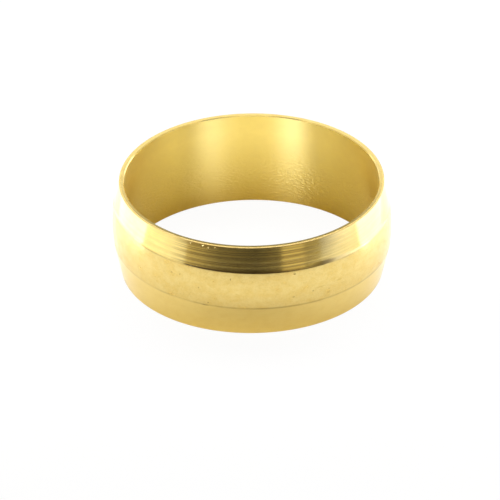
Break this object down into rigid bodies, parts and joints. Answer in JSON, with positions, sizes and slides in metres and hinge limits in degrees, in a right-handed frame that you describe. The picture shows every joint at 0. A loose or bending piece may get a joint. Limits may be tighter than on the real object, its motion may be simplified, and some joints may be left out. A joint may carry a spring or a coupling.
{
  "type": "compression olive",
  "caption": "Barrel-shaped brass ring with a plain pipe bore, tapered at both ends, squeezed onto pipe by a compression nut to seal the joint.",
  "frame": {"origin": "centre of the lower end face, on the axis of the bore", "axes": "+Z along the bore, up from the lower end face; the ring is round about Z, so X and Y are free"},
  "size_m": [0.0166, 0.0166, 0.0059],
  "materials": {
    "brass": "turned satin brass with fine tool lines on the tapers"
  },
  "bodies": {
    "root": {"olive": "brass"}
  },
  "joints": []
}
